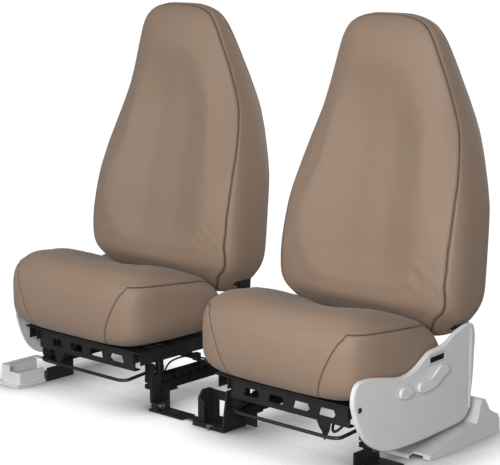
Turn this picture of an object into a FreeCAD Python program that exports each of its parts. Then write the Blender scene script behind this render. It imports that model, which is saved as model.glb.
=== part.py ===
import FreeCAD, Part
import math
import os

# Pair of high-back bucket seats in fitted covers, on slide rails, feet and lift posts.
# Each seat is drawn in its own frame: X outboard, Y to the rear, Z up from the floor.
# The driver's seat stands at +X; the passenger's is its mirror image at -X.
V = FreeCAD.Vector
os.makedirs("parts", exist_ok=True)

SEAT_HALF_SPACING = 360.0   # seat centre line to the middle of the pair
Y_DATUM = 16.0              # middle of the pair's depth, taken as Y = 0
COVER = 4.0                 # laminated cover cloth
FOAM_GAP = 1.0              # air between cover and foam
SEAM = 0.6                  # gap between neighbouring cover panels
RAIL_X = 205.0              # rail centre line from the seat centre
RAIL_Z = 46.0               # underside of the lower rail
RAIL_FRONT, RAIL_REAR = -128.0, 262.0
SLIDE_CLEAR = 1.0           # clearance between the sliding rail profiles
PLATE = 5.0                 # foot plate steel
HOLE_R = 5.5                # floor bolt hole
HOLES_IN, HOLES_OUT = -270.0, 236.0
HOLES_FRONT, HOLES_REAR = -146.0, 214.0
POST_R, SLEEVE_R, POST_CLEAR = 8.0, 11.0, 0.05
POST_Y = (-112.0, 140.0)
PAN_Z = 160.0               # underside of the cushion pan
PIVOT_Y, PIVOT_Z, PIVOT_R = 178.0, 268.0, 7.0
SHIELD_X = 270.0            # inner edge of the side shield's rim
SHIELD_T = 10.0

# Backrest outline: height, half width, front and rear faces, corner exponent.
BACK = [(258, 190, 134, 206, 2.8), (264, 214, 126, 220, 3.0), (278, 236, 115, 236, 3.2),
        (296, 254, 101, 250, 3.5), (316, 268, 86, 262, 3.8), (335, 279, 67, 271, 4.0),
        (365, 288, 57, 277, 4.2), (435, 289, 57, 282, 4.2), (532, 283, 73, 297, 4.2),
        (599, 274, 90, 309, 4.2), (741, 237, 131, 321, 3.8), (817, 209, 146, 314, 3.6),
        (941, 167, 152, 284, 3.2), (988, 151, 154, 268, 3.0), (1018, 131, 160, 254, 2.8),
        (1035, 101, 171, 243, 2.6), (1044, 58, 186, 228, 2.4)]
# Front seam of the backrest, as height and depth.
BACK_SEAM = [(240, 158), (290, 118), (330, 96), (396, 85), (429, 87), (493, 97), (584, 121), (667, 153),
             (746, 181), (794, 192), (874, 193), (955, 186), (1001, 184), (1060, 190)]
# Cushion: depth, half width, bottom, top.
CUSHION = [(-264, 160, 230, 296), (-258, 205, 202, 330), (-245, 235, 180, 363),
           (-218, 253, 168, 390), (-180, 262, 166, 401), (-115, 267, 166, 393),
           (-40, 268, 166, 372), (44, 263, 166, 344), (66, 258, 167, 326), (88, 250, 168, 301),
           (106, 238, 171, 271), (118, 222, 176, 246)]
# Cushion seam: up the front as half width and height, then back along the side as depth and height.
SEAM_UP = [(138, 100), (138, 140), (143, 190), (158, 230), (180, 280), (200, 320), (214, 350), (222, 440)]
SEAM_BACK = [(-300, 346), (-225, 343), (-150, 341), (-50, 335), (30, 327), (70, 310), (100, 286), (200, 260)]


def soften(table, rounds):
    # Corner cutting: turns a short table of sections into a smooth, evenly spaced run.
    for _ in range(rounds):
        out = [table[0]]
        for a, b in zip(table, table[1:]):
            out.append(tuple(0.75 * p + 0.25 * q for p, q in zip(a, b)))
            out.append(tuple(0.25 * p + 0.75 * q for p, q in zip(a, b)))
        table = out + [table[-1]]
    return table


def power(value, exponent):
    return math.copysign(abs(value) ** exponent, value)


def closed_spline(points):
    curve = Part.BSplineCurve()
    curve.interpolate(points, True)
    return Part.Wire(curve.toShape())


def back_section(z, half, front, rear, n):
    mid, deep = (front + rear) / 2.0, (rear - front) / 2.0
    pts = []
    for k in range(16):
        t = 2 * math.pi * (k + 0.5) / 16
        pts.append(V(half * power(math.cos(t), 2 / n), mid + deep * power(math.sin(t), 2 / n), z))
    return closed_spline(pts)


def back_body(inset):
    low, high = BACK[0][0], BACK[-1][0]
    scale = (high - low - 2.0 * inset) / (high - low)
    wires = []
    for z, half, front, rear, n in BACK:
        zi = low + inset + (z - low) * scale
        keep = 0.5 if rear - front < 60 else 1.0
        wires.append(back_section(zi, half - inset, front + inset * keep, rear - inset * keep, n))
    return Part.makeLoft(wires, True, False)


def cushion_section(y, half, low, high):
    mid, tall = (low + high) / 2.0, (high - low) / 2.0
    pts = []
    for k in range(20):
        t = 2 * math.pi * (k + 0.5) / 20
        n = 3.5 if math.sin(t) > 0 else 5.0
        pts.append(V(half * power(math.cos(t), 2 / n), y, mid + tall * power(math.sin(t), 2 / n)))
    return closed_spline(pts)


def cushion_body(inset):
    front, rear = CUSHION[0][0], CUSHION[-1][0]
    scale = (rear - front - 2.0 * inset) / (rear - front)
    wires = []
    for y, half, low, high in soften(CUSHION, 1):
        yi = front + inset + (y - front) * scale
        wires.append(cushion_section(yi, half - inset, low + inset, high - inset))
    return Part.makeLoft(wires, True, False)


def box(x0, x1, y0, y1, z0, z1):
    return Part.makeBox(x1 - x0, y1 - y0, z1 - z0, V(x0, y0, z0))


def rod(radius, start, end):
    a, b = V(*start), V(*end)
    return Part.makeCylinder(radius, (b - a).Length, a, b - a)


def prism_yz(points, x0, x1):
    face = Part.Face(Part.makePolygon([V(x0, y, z) for y, z in points + points[:1]]))
    return face.extrude(V(x1 - x0, 0, 0))


def prism_xz(points, y0, y1):
    face = Part.Face(Part.makePolygon([V(x, y0, z) for x, z in points + points[:1]]))
    return face.extrude(V(0, y1 - y0, 0))


def smooth_prism_yz(points, x0, x1):
    wire = closed_spline([V(x0, y, z) for y, z in points])
    return Part.Face(wire).extrude(V(x1 - x0, 0, 0))


def curve_cut(points, y_far, x_half=400.0):
    # Solid on one side of a curve in the YZ plane, reaching to y_far.
    curve = Part.BSplineCurve()
    curve.interpolate([V(-x_half, y, z) for z, y in points])
    edge = curve.toShape()
    z0, y0, z1, y1 = points[0][0], points[0][1], points[-1][0], points[-1][1]
    far = [V(-x_half, y1, z1), V(-x_half, y_far, z1), V(-x_half, y_far, z0), V(-x_half, y0, z0)]
    wire = Part.Wire([edge, *Part.makePolygon(far).Edges])
    return Part.Face(wire).extrude(V(2 * x_half, 0, 0))


def bent_rod(points, radius):
    # Round bar of straight runs joined by tangent arcs.
    pts = [V(*p) for p in points]
    edges, last = [], pts[0]
    for i in range(1, len(pts) - 1):
        a, b = (pts[i - 1] - pts[i]), (pts[i + 1] - pts[i])
        run = min(a.Length, b.Length)
        a.normalize()
        b.normalize()
        half = (math.pi - a.getAngle(b)) / 2.0
        if half < 0.02:
            continue
        trim = min(0.45 * run, 400.0)
        bend = trim / math.tan(half)
        p0, p1 = pts[i] + a * trim, pts[i] + b * trim
        toward = a + b
        toward.normalize()
        centre = pts[i] + toward * (bend / math.cos(half))
        back = pts[i] - centre
        back.normalize()
        edges.append(Part.LineSegment(last, p0).toShape())
        edges.append(Part.Arc(p0, centre + back * bend, p1).toShape())
        last = p1
    edges.append(Part.LineSegment(last, pts[-1]).toShape())
    path = Part.Wire(edges)
    heading = pts[1] - pts[0]
    ring = Part.Wire(Part.makeCircle(radius, pts[0], heading))
    return path.makePipeShell([ring], True, True)


def fuse(solids):
    out = solids[0]
    for s in solids[1:]:
        out = out.fuse(s)
    return out.removeSplitter()


def group(solids):
    return Part.makeCompound([s for shape in solids for s in shape.Solids])


def drill(shape, holes):
    for h in holes:
        shape = shape.cut(h)
    return shape


NODES = {}


def put(name, shape, sides=("driver", "passenger")):
    for side in sides:
        s = shape.copy()
        if side == "passenger":
            s = s.mirror(V(0, 0, 0), V(1, 0, 0))
        s.translate(V(SEAT_HALF_SPACING if side == "driver" else -SEAT_HALF_SPACING, -Y_DATUM, 0))
        NODES[side + "_" + name] = s


# --- Backrest: foam on a steel frame, inside a cover of front panel, side band and rear panel ---
back_outer = back_body(0.0)
back_shell = back_outer.cut(back_body(COVER))
arm_slots = [box(s * 246.5 - 6, s * 246.5 + 6, 150, 208, 290, 345) for s in (-1, 1)]
arm_slots += [box(s * 245.5 - 13.5, s * 245.5 + 13.5, 144, 232, 240, 300) for s in (-1, 1)]
back_shell = drill(back_shell, arm_slots)
seam_back = [(z, y) for z, y in BACK_SEAM]
seam_band = [(z, y + SEAM) for z, y in BACK_SEAM]
rear_pts = [(240, 165)] + [(z, rear - 42 if rear > 262 or z < 900 else (front + rear) / 2 + 16)
                           for z, half, front, rear, n in BACK[1:]] + [(1060, 210)]
rear_gap = [(z, y + SEAM) for z, y in rear_pts]
put("back_front_cover", back_shell.common(curve_cut(seam_back, -200.0)))
put("back_rear_cover", back_shell.common(curve_cut(rear_gap, 600.0)))
put("back_side_band", back_shell.common(curve_cut(seam_band, 600.0)).common(curve_cut(rear_pts, -200.0)))

# Frame: side uprights, cross bars and head loop of tube, with flat arms down to the pivots.
TUBE = 11.0
uprights = []
loop = [(-215, 185, 340), (-215, 212, 520), (-190, 236, 700), (-118, 236, 860), (-92, 222, 985),
        (92, 222, 985), (118, 236, 860), (190, 236, 700), (215, 212, 520), (215, 185, 340)]
uprights.append(bent_rod(loop, TUBE))
uprights.append(rod(8, (-212, 192, 380), (212, 192, 380)))
uprights.append(rod(8, (-190, 236, 700), (190, 236, 700)))
for s in (-1, 1):
    arm = prism_yz([(158, 262), (166, 248), (190, 248), (199, 262), (205, 330), (222, 470),
                    (196, 470), (160, 330)], 244, 249)
    hub = rod(20, (244, PIVOT_Y, PIVOT_Z), (249, PIVOT_Y, PIVOT_Z))
    arm = arm.fuse(hub).cut(rod(PIVOT_R + 0.05, (240, PIVOT_Y, PIVOT_Z), (256, PIVOT_Y, PIVOT_Z)))
    tie = box(205, 246, 182, 198, 374, 386)
    tie2 = box(205, 246, 198, 214, 440, 452)
    if s < 0:
        arm, tie, tie2 = [q.mirror(V(0, 0, 0), V(1, 0, 0)) for q in (arm, tie, tie2)]
    uprights += [arm, tie, tie2]
frame = fuse(uprights)
put("back_frame", frame)

# Foam bun with one flat pocket, open at the bottom, that slips over the frame.
pocket_side = prism_yz([(148, 290), (222, 290), (231, 520), (254, 700), (254, 860), (240, 1002),
                        (204, 1002), (218, 860), (218, 700), (193, 520), (163, 340)], -300, 300)
pocket_face = prism_xz([(-246, 290), (246, 290), (246, 484), (232, 560), (207, 706), (136, 866), (108, 1000),
                        (-108, 1000), (-136, 866), (-207, 706), (-232, 560), (-246, 484)], 100, 300)
pocket = pocket_side.common(pocket_face)
for s in (-1, 1):
    pocket = pocket.fuse(box(s * 246.5 - 5, s * 246.5 + 5, 146, 233, 280, 481))
    pocket = pocket.fuse(box(s * 245.5 - 14.5, s * 245.5 + 14.5, 143, 234, 230, 301))
foam = back_body(COVER + FOAM_GAP).cut(pocket)
put("back_foam", foam)

# --- Cushion: foam on a pan, inside a cover of top panel and two side panels with a hem ---
cushion_shell = cushion_body(0.0).cut(cushion_body(COVER))
cushion_shell = cushion_shell.cut(box(-196, 196, -200, 200, 150, 200))


def side_zone(gap):
    # Space beside the front seams and below the side seams, cut back by the gap.
    front = [(-w - gap, z) for w, z in SEAM_UP] + [(w + gap, z) for w, z in reversed(SEAM_UP)]
    below = [(y, z - gap) for y, z in SEAM_BACK] + [(200, 100), (-300, 100)]
    return prism_yz(below, -400, 400).cut(prism_xz(front, -310, 210))


put("cushion_top_cover", cushion_shell.cut(side_zone(0.0)))
sides = cushion_shell.common(side_zone(SEAM))
put("cushion_side_cover_outer", sides.common(box(0, 300, -300, 200, 100, 420)))
put("cushion_side_cover_inner", sides.common(box(-300, 0, -300, 200, 100, 420)))

cushion_foam = cushion_body(COVER + FOAM_GAP)
cushion_foam = cushion_foam.fuse(box(-190, 190, -190, 110, 167, 200)).removeSplitter()
put("cushion_foam", cushion_foam)

# Straps of elastic webbing that hold the cover down under the cushion, with a hook at each end.
straps = []
for y in (-140, -50, 45):
    straps.append(box(-200, 200, y - 12, y + 12, 164.2, 165.4))
    for s in (-1, 1):
        x0 = 206 if s > 0 else -226
        straps.append(box(x0, x0 + 20, y - 10, y + 10, 163.9, 165.6))
        xa = 199 if s > 0 else -207
        straps.append(box(xa, xa + 8, y - 8, y + 8, 164.2, 165.4))
straps = fuse(straps)
put("cover_straps", straps)

# Pan: pressed tray with side beams over the posts and a windowed front cross member.
pan = [box(-226, 226, -206, 146, PAN_Z, PAN_Z + 3.5)]
for s in (-1, 1):
    for xw in (-16.5, 13.5):
        pan.append(box(s * RAIL_X + xw, s * RAIL_X + xw + 3, -196, 222, 127, PAN_Z))
    pan.append(box(s * RAIL_X - 16.5, s * RAIL_X + 16.5, 146, 222, PAN_Z - 3, PAN_Z))
cross = box(-188.5, 188.5, -186, -183, 104, PAN_Z)
windows = []
for x in (-120, -40, 40, 120):
    w = prism_xz([(x - 26, 118), (x + 16, 118), (x + 26, 126), (x + 20, 138), (x - 20, 138)], -190, -170)
    windows.append(w)
pan.append(drill(cross, windows))
pan.append(box(-188.5, 188.5, -186, -166, 104, 107))
pan.append(box(-188.5, 188.5, 96, 99, 120, PAN_Z))
pan.append(prism_xz([(88, 104), (130, 104), (126, 84), (112, 58), (104, 80), (96, 88)], -186, -183))
pan = fuse(pan)
sleeve_bodies = [rod(SLEEVE_R, (s * RAIL_X, y, 90), (s * RAIL_X, y, 156)) for s in (-1, 1) for y in POST_Y]
pan = drill(pan, [rod(SLEEVE_R + 6, (s * RAIL_X, y, PAN_Z - 1), (s * RAIL_X, y, PAN_Z + 5))
                  for s in (-1, 1) for y in POST_Y])
# Ribs tie each sleeve to the two walls of its beam.
ribs = []
for s in (-1, 1):
    for y in POST_Y:
        ribs.append(box(s * RAIL_X - 13.5, s * RAIL_X + 13.5, y - 3, y + 3, 134, 150)
                    .cut(rod(SLEEVE_R, (s * RAIL_X, y, 80), (s * RAIL_X, y, 170))))
pan = fuse([pan] + ribs)
put("cushion_pan", pan)

sleeves = [q.cut(rod(POST_R + POST_CLEAR, (q.BoundBox.Center.x, q.BoundBox.Center.y, 80),
                     (q.BoundBox.Center.x, q.BoundBox.Center.y, 170))) for q in sleeve_bodies]
put("lift_sleeves", group(sleeves))

# --- Carriage: sliding upper rails with posts, lift motor and cable ---
upper_section = [(-17, 50), (17, 50), (17, 62), (8, 62), (8, 67), (17, 67), (17, 83), (-17, 83),
                 (-17, 67), (-8, 67), (-8, 62), (-17, 62)]
uppers, posts = [], []
for s in (-1, 1):
    rail = prism_xz([(s * RAIL_X + x, z) for x, z in upper_section], -150, 230)
    for k in range(7):
        rail = rail.cut(box(s * RAIL_X - 20, s * RAIL_X + 20, -80 + 30 * k, -66 + 30 * k, 71, 78))
    # Ear for the release bar's pivot pin, standing on the rail's inner edge.
    ear = box(188, 190.5, -104, -80, 80, 101).cut(rod(3.55, (180, -92, 92), (195, -92, 92)))
    rail = rail.fuse(ear if s > 0 else ear.mirror(V(0, 0, 0), V(1, 0, 0))).removeSplitter()
    uppers.append(rail)
    for y in POST_Y:
        posts.append(rod(POST_R, (s * RAIL_X, y, 83), (s * RAIL_X, y, 156.5)))
        collar = rod(13, (s * RAIL_X, y, 83), (s * RAIL_X, y, 88.5))
        posts[-1] = posts[-1].fuse(collar).removeSplitter()
    riser = box(s * RAIL_X - 17, s * RAIL_X + 17, -149, -145, 83, 122)
    riser = riser.fuse(box(s * RAIL_X - 17, s * RAIL_X + 17, -149, -130, 83, 86)).removeSplitter()
    posts.append(riser)
put("upper_rails", group(uppers))
put("lift_posts", group(posts))

motor = [box(-187.5, 187.5, 58, 66, 84, 100), rod(19, (-96, 40, 112), (6, 40, 112)),
         box(6, 44, 18, 62, 92, 134), rod(6, (44, 40, 112), (150, 40, 112)), box(-60, -40, 36, 66, 92, 100)]
motor.append(box(150, 187.5, 30, 66, 86, 118))
motor.append(box(-187.5, -170, 50, 66, 84, 104))
motor.append(box(10, 40, 50, 66, 90, 110))
motor += [box(min(s * 186, s * 200), max(s * 186, s * 200), 50, 66, 83, 87) for s in (-1, 1)]
put("lift_motor", fuse(motor))

cable = [(-204, -92, 86), (-197, -78, 96), (-192, -58, 106), (-192, -24, 110), (-192, 12, 108), (-192, 40, 101),
         (-196, 62, 92), (-203, 78, 85)]
put("release_cable", bent_rod(cable, 2.5).cut(box(-240, -170, -140, 110, 60, 83.2)))

# Slide release bar: bent under the front of the cushion, pulled up to free the rails.
bar = [(-176, -92, 92), (-176, -122, 88), (-168, -196, 78), (-148, -206, 77), (-40, -208, 77), (40, -208, 77),
       (148, -206, 77), (168, -196, 78), (176, -122, 88), (176, -92, 92)]
release = bent_rod(bar, 4.5)
ears = [rod(7, (s * 176 - 4, -92, 92), (s * 176 + 4, -92, 92)) for s in (-1, 1)]
pins = [rod(3.5, (min(s * 170, s * 190.5), -92, 92), (max(s * 170, s * 190.5), -92, 92)) for s in (-1, 1)]
put("release_bar", fuse([release] + ears + pins))

# --- Fixed base: lower rails, four feet, their bolts ---
lower_section = [(-22, 46), (22, 46), (22, 66), (9, 66), (9, 63), (19, 63), (19, 49), (-19, 49), (-19, 63),
                 (-9, 63), (-9, 66), (-22, 66)]
BOLT_Y = (-112.0, -84.0, 204.0, 232.0)
lowers, bolts = [], []
for s in (-1, 1):
    rail = prism_xz([(s * RAIL_X + x, z) for x, z in lower_section], RAIL_FRONT, RAIL_REAR)
    for y in BOLT_Y:
        rail = rail.cut(rod(4.05, (s * RAIL_X, y, 40), (s * RAIL_X, y, 49.5)))
        head = Part.Face(Part.makePolygon([V(s * RAIL_X + 8 * math.cos(math.pi * k / 3),
                                             y + 8 * math.sin(math.pi * k / 3), 35) for k in range(7)]))
        bolts.append(head.extrude(V(0, 0, 6)).fuse(rod(4, (s * RAIL_X, y, 41), (s * RAIL_X, y, 49))))
    lowers.append(rail)
put("lower_rails", group(lowers))


def bolt_holes(x, ys):
    return [rod(4.05, (x, y, 38), (x, y, 48)) for y in ys]


FLOOR_HOLES = [rod(HOLE_R, (x, y, -2), (x, y, PLATE + 3)) for x in (HOLES_IN, HOLES_OUT)
               for y in (HOLES_FRONT, HOLES_REAR)]

# Outer feet and rear feet: a Z bracket from the rail down to the floor plate.
def z_foot(rail_x, x_floor0, x_floor1, y0, y1, web_x):
    top = box(min(rail_x - 20, web_x), max(rail_x + 20, web_x), y0, y1, 41, 46)
    web = box(web_x - 5, web_x, y0, y1, 0, 46)
    base = box(x_floor0, x_floor1, y0, y1, 0, PLATE)
    return fuse([top, web, base])


front_outer = z_foot(RAIL_X, 184, 262, -166, -70, 189)
front_outer = front_outer.cut(box(180, 230, -170, -128, 38, 50))
put("front_foot_outer", drill(front_outer, bolt_holes(RAIL_X, BOLT_Y[:2]) + FLOOR_HOLES))
rear_outer = z_foot(RAIL_X, 184, 262, 190, 246, 189)
put("rear_foot_outer", drill(rear_outer, bolt_holes(RAIL_X, BOLT_Y[2:]) + FLOOR_HOLES))
rear_inner = z_foot(-RAIL_X, -292, -223, 190, 246, -223)
put("rear_foot_inner", drill(rear_inner, bolt_holes(-RAIL_X, BOLT_Y[2:]) + FLOOR_HOLES))

# Driver's inner front foot: a plate with a U bracket whose window looks forward.
seat_top = box(-226, -184, -128, -70, 41, 46)
plate = box(-330, -222, -178, -92, 0, PLATE)
lip = box(-330, -222, -178, -174, 0, 13)
cheek_l = prism_yz([(-170, 5), (-112, 5), (-112, 84), (-128, 92), (-156, 92), (-170, 74)], -318, -313)
cheek_r = prism_yz([(-178, 5), (-92, 5), (-80, 41), (-80, 46), (-128, 46), (-128, 106), (-160, 106)], -229, -224)
back_web = box(-314, -228, -116, -112, 5, 84).cut(box(-296, -250, -120, -108, 16, 60))
front_low = prism_xz([(-314, 5), (-296, 5), (-296, 60), (-314, 74)], -170, -166)
brace = prism_yz([(-128, 41), (-128, 46), (-92, 46), (-92, 5), (-97, 5), (-97, 41)], -226, -184)
u_foot = fuse([seat_top, plate, lip, cheek_l, cheek_r, back_web, front_low, brace])
u_foot = drill(u_foot, bolt_holes(-RAIL_X, BOLT_Y[:2]) + FLOOR_HOLES + [rod(3.3, (-270, -182, 8.6), (-270, -170, 8.6))])
put("front_foot_inner", u_foot, ("driver",))

# Passenger's inner front foot: a leg raked down to a forked floor plate with a slot.
leg = prism_yz([(-168, 96), (-134, 96), (-128, 46), (-70, 46), (-70, 41), (-112, 41), (-118, 5), (-164, 5)], -232, -227)
leg_in = prism_yz([(-128, 46), (-70, 46), (-70, 41), (-123, 41), (-123, 5), (-128, 5)], -227, -184)
plate = box(-345, -222, -170, -122, 0, PLATE)
fork = box(-254, -249, -170, -122, 5, 26)
leg_side = box(-254, -232, -126, -122, 5, 60).fuse(box(-254, -232, -170, -166, 5, 26))
r_foot = fuse([leg, leg_in, plate, fork, leg_side])
slot = fuse([box(-326, -304, -150, -142, -1, 7), rod(4, (-326, -146, -1), (-326, -146, 7)),
             rod(4, (-304, -146, -1), (-304, -146, 7))])
r_foot = drill(r_foot, bolt_holes(-RAIL_X, BOLT_Y[:2]) + FLOOR_HOLES + [slot, rod(4.05, (-260, -154, 15), (-220, -154, 15))])
put("front_foot_inner", r_foot, ("passenger",))

# Bright bolts: one through the driver's plate lip, one through the passenger's fork.
lip_bolt = rod(3.25, (-270, -181, 8.6), (-270, -172, 8.6)).fuse(rod(5.5, (-270, -184, 8.6), (-270, -178, 8.6)))
fork_bolt = rod(4, (-255, -154, 15), (-226, -154, 15)).fuse(rod(8, (-260, -154, 15), (-254, -154, 15)))
put("rail_bolts", group(bolts + [lip_bolt]), ("driver",))
put("rail_bolts", group(bolts + [fork_bolt]), ("passenger",))

# --- Recliner: lower side plates on the beams with the pivot pins ---
hinges = []
for s in (-1, 1):
    cheek = prism_yz([(152, 112), (222, 112), (214, 200), (201, 262), (155, 262), (152, 200)], 236, 242)
    cheek = cheek.fuse(rod(23, (236, PIVOT_Y, PIVOT_Z), (242, PIVOT_Y, PIVOT_Z)))
    foot = box(221.5, 238, 152, 222, 128, 134)
    pin = rod(PIVOT_R, (238, PIVOT_Y, PIVOT_Z), (251, PIVOT_Y, PIVOT_Z))
    cap = rod(12, (251, PIVOT_Y, PIVOT_Z), (255, PIVOT_Y, PIVOT_Z))
    hinge = fuse([cheek, foot, pin, cap])
    if s < 0:
        hinge = hinge.mirror(V(0, 0, 0), V(1, 0, 0))
    hinges.append(hinge)
put("recliner_hinges", group(hinges))

# --- Side shield: a shallow plastic shell outboard of the cushion ---
SHIELD = [(-289, 196), (-288, 224), (-276, 245), (-248, 251), (-200, 246), (-150, 236), (-104, 229), (-62, 236),
          (-30, 251), (2, 267), (24, 270), (50, 272), (74, 279), (104, 294), (136, 303), (160, 307), (180, 303),
          (189, 286), (190, 240), (187, 180), (180, 120), (168, 78), (148, 66), (104, 60), (40, 56), (-40, 53),
          (-110, 55), (-165, 62), (-205, 78), (-242, 106), (-270, 145)]


NOSE_SHORT = 0.61           # the passenger's shield stops short of the cushion's front


def shield_wire(outline, inset, x):
    pts = []
    for y, z in outline:
        k = inset / math.hypot(y + 40.0, z - 165.0)
        pts.append(V(x, y - (y + 40.0) * k, z - (z - 165.0) * k))
    return closed_spline(pts)


def make_shield(outline, nose):
    rims = ((0.0, 0.0), (0.0, 4.0), (1.4, 7.2), (4.0, 9.2), (8.5, SHIELD_T))
    shell = Part.makeLoft([shield_wire(outline, inset, SHIELD_X + x) for inset, x in rims], True, False)
    hollow = Part.Face(shield_wire(outline, 4.0, SHIELD_X - 1)).extrude(V(SHIELD_T - 2, 0, 0))
    slot = prism_yz([(2, 238), (58, 241), (60, 255), (2, 253)], SHIELD_X - 2, SHIELD_X + 20)
    screw = rod(4.2, (SHIELD_X - 2, nose, 185), (SHIELD_X + 20, nose, 185))
    sink = rod(7.5, (SHIELD_X + 8.2, nose, 185), (SHIELD_X + 20, nose, 185))
    stems = [box(SHIELD_X, SHIELD_X + 20, -108, -88, 185, 197), box(SHIELD_X, SHIELD_X + 20, 12, 30, 188, 204)]
    return drill(shell, [hollow, slot, screw, sink] + stems)


short_outline = [(y if y > -60 else -60 + (y + 60) * NOSE_SHORT, z) for y, z in SHIELD]
put("side_shield", make_shield(SHIELD, -266), ("driver",))
put("side_shield", make_shield(short_outline, -182), ("passenger",))

# Switch knobs: a short bar and an elbow-shaped bar on stems through the shield.
small = smooth_prism_yz([(-122, 190), (-116, 202), (-98, 205), (-82, 200), (-76, 188), (-84, 180), (-102, 178),
                         (-118, 181)], SHIELD_X + 12, SHIELD_X + 20)
small = small.fuse(box(SHIELD_X + 2, SHIELD_X + 12, -102, -94, 188, 194)).removeSplitter()
put("seat_knob", small)
elbow = [(-50, 188), (-46, 199), (-30, 203), (-6, 204), (12, 211), (30, 224), (52, 228), (66, 219), (66, 208),
         (48, 201), (30, 190), (14, 182), (-20, 178), (-44, 179)]
elbow = smooth_prism_yz(elbow, SHIELD_X + 12, SHIELD_X + 20)
elbow = elbow.fuse(rod(4.5, (SHIELD_X + 2, 21, 196), (SHIELD_X + 12, 21, 196))).removeSplitter()
put("recline_knob", elbow)

# --- Floor trims: the passenger's front foot cover and the driver's rear rail cover ---
cover = box(194, 268, -263, -134, 0, 56)
cover = cover.makeFillet(9, [e for e in cover.Edges if abs(e.Length - 56) < 0.1])
skirt = box(189, 273, -270, -134, 0, 8)
cover = cover.fuse(skirt).removeSplitter()
cover = cover.cut(box(197, 265, -260, -130, -1, 53))
cover = cover.cut(box(202, 256, -250, -152, 50, 60))
cover = cover.cut(box(180, 232, -280, -120, 41, 60))
cover = cover.cut(box(180, 232, -170, -120, -1, 60))
cover = cover.cut(rod(4, (250, -140, 34), (250, -120, 34)))
put("foot_cover", max(cover.Solids, key=lambda q: q.Volume), ("passenger",))

profile = [(0, 0), (2, 12), (40, 20), (100, 33), (150, 42), (196, 46), (204, 60), (212, 92), (220, 101), (232, 101),
           (240, 90), (252, 70), (272, 58), (290, 50), (298, 36), (300, 0)]
trim = prism_yz(profile, 238, 286)
inner = [(5, -1), (5, 9), (40, 17), (100, 30), (150, 39), (200, 43), (208, 62), (216, 90), (222, 98), (230, 98),
         (238, 87), (250, 67), (271, 55), (288, 47), (295, 35), (297, -1)]
trim = trim.cut(prism_yz(inner, 236, 283))
trim = trim.cut(box(230, 266, -5, 305, -1, 7))
wedge = prism_yz([(-22, 0), (-20, 9), (60, 22), (150, 34), (150, 0)], 166, 238.5)
wedge = wedge.cut(prism_yz([(-18, -1), (-17, 6), (60, 19), (152, 31), (152, -1)], 169, 240))
trim = trim.fuse(wedge).removeSplitter()
put("rail_cover", trim, ("driver",))

# --- Wiring loom under the pan, clipped all along, with its plug ---
loom = [(150, 92, 152), (150, 40, 152), (150, -20, 152), (150, -70, 150), (150, -110, 138), (150, -138, 118),
        (148, -158, 96), (140, -172, 84), (126, -170, 78), (114, -158, 84), (108, -140, 100), (106, -122, 122),
        (106, -106, 142)]
loom_s = bent_rod(loom, 3.5)
plug = box(96, 116, -112, -94, 142, 159.8)
clips = [box(144, 156, y - 4, y + 4, 156.2, 159.8) for y in (70, 10, -45)]
clips = [c.fuse(box(148, 152, y - 4, y + 4, 152.5, 157)) for c, y in zip(clips, (70, 10, -45))]
put("harness", fuse([loom_s, plug] + clips))

# --- Strap between the two inner front feet ---
strap = box(-58, 41.5, -156, -136, PLATE, PLATE + 2.5)
strap.translate(V(0, -Y_DATUM, 0))
NODES["tie_strap"] = strap

for name, shape in sorted(NODES.items()):
    solids = shape.Solids
    out = solids[0] if len(solids) == 1 else Part.makeCompound(solids)
    out.exportStep("parts/" + name + ".step")
    bb = out.BoundBox
    print("%-36s n=%d ok=%s vol=%9.0f x[%.0f %.0f] y[%.0f %.0f] z[%.1f %.1f]" % (
        name, len(solids), out.isValid(), out.Volume, bb.XMin, bb.XMax, bb.YMin, bb.YMax, bb.ZMin, bb.ZMax))
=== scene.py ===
import bpy, bmesh, math
from mathutils import Matrix, Vector
from mathutils.bvhtree import BVHTree


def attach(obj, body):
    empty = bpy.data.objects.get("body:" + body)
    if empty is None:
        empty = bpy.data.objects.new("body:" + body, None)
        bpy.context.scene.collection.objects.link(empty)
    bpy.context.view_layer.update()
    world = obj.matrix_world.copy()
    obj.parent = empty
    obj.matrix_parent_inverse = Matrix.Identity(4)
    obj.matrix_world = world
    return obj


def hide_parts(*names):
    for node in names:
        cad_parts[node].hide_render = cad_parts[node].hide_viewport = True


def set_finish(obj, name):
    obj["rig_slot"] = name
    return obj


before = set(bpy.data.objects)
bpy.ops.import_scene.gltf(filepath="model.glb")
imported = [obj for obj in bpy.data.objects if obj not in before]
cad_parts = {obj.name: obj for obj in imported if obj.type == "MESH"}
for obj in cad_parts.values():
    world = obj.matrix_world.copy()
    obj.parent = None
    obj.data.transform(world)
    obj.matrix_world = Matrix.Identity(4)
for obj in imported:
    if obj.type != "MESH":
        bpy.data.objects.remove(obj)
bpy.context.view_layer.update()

# --- Camera, floor and light -------------------------------------------------------------
# The pair stands on a plain white studio floor under broad soft lights, seen from the
# driver's front corner a little above cushion height. To the camera the floor glows white, with painted contact
# shadows.
scene = bpy.context.scene
camera = bpy.data.objects.new("camera", bpy.data.cameras.new("camera"))
scene.collection.objects.link(camera)
camera.location = (2.788, -3.037, 1.273)
camera.rotation_euler = (math.radians(90 - 11.03), 0, math.radians(42))
camera.data.lens = 116.064
camera.data.sensor_width = 36
scene.camera = camera
scene.view_settings.view_transform = "Standard"


def add_node(tree, kind, inputs=None, **settings):
    made = tree.nodes.new(kind)
    for key, value in settings.items():
        setattr(made, key, value)
    for key, value in (inputs or {}).items():
        if isinstance(value, bpy.types.NodeSocket):
            tree.links.new(value, made.inputs[key])
        else:
            made.inputs[key].default_value = value
    return made


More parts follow.
